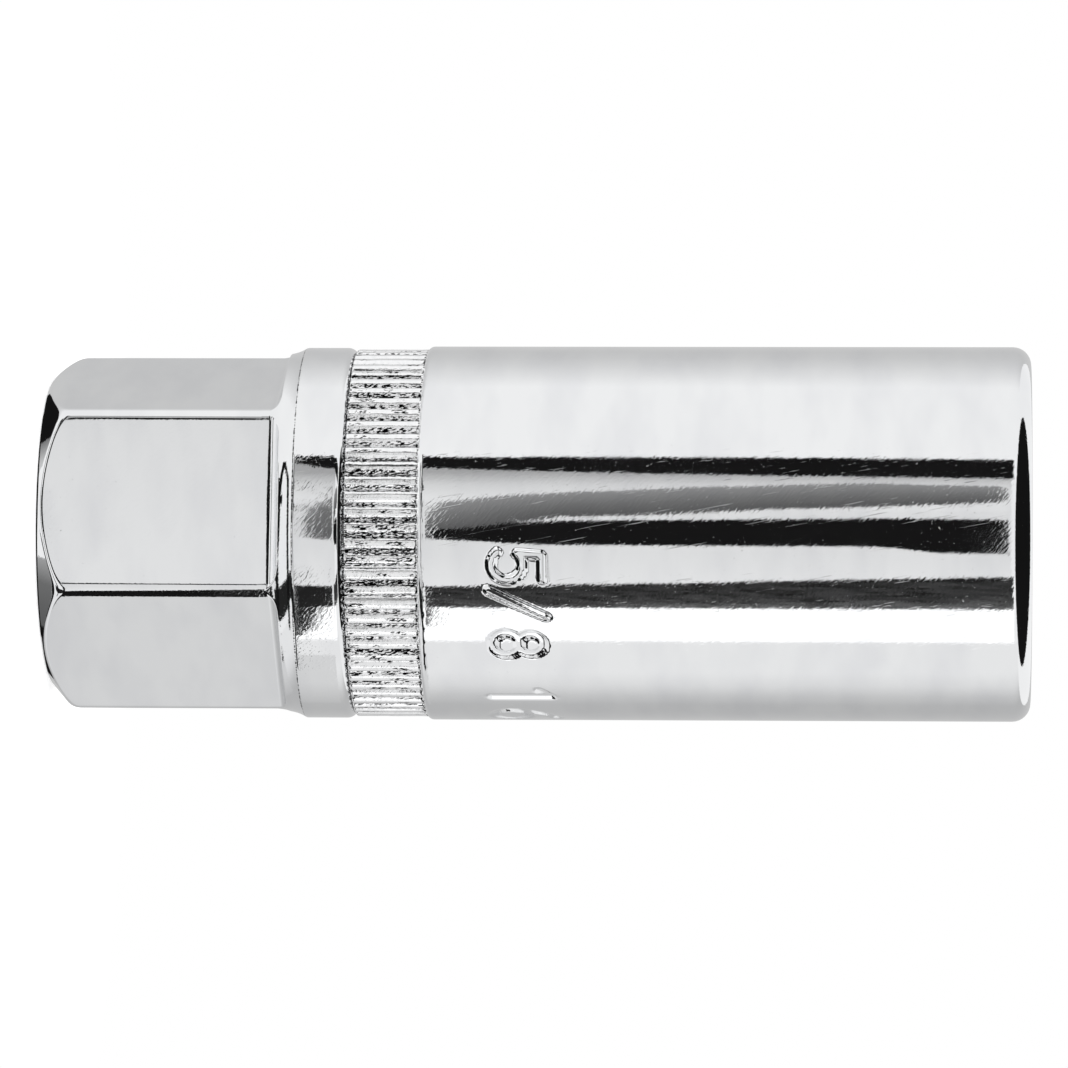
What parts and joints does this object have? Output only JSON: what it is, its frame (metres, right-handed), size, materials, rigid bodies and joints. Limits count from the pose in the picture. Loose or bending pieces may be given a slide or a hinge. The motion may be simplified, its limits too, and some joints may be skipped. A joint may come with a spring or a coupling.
{
  "type": "spark plug socket",
  "caption": "Chromed long socket with a square drive, outer hexagon, knurled band and plain barrel; a rubber bush inside grips a spark plug's insulator.",
  "frame": {"origin": "centre of the drive-end face, on which the socket stands", "axes": "+Z along the socket's axis to the open end; one flat of the outer hexagon faces -Y"},
  "size_m": [0.0248, 0.0248, 0.065],
  "materials": {
    "chrome_plate": "polished chrome plate on forged steel",
    "black_rubber": "moulded black rubber, satin"
  },
  "bodies": {
    "root": {"socket_body": "chrome_plate", "rubber_bush": "black_rubber"}
  },
  "joints": []
}
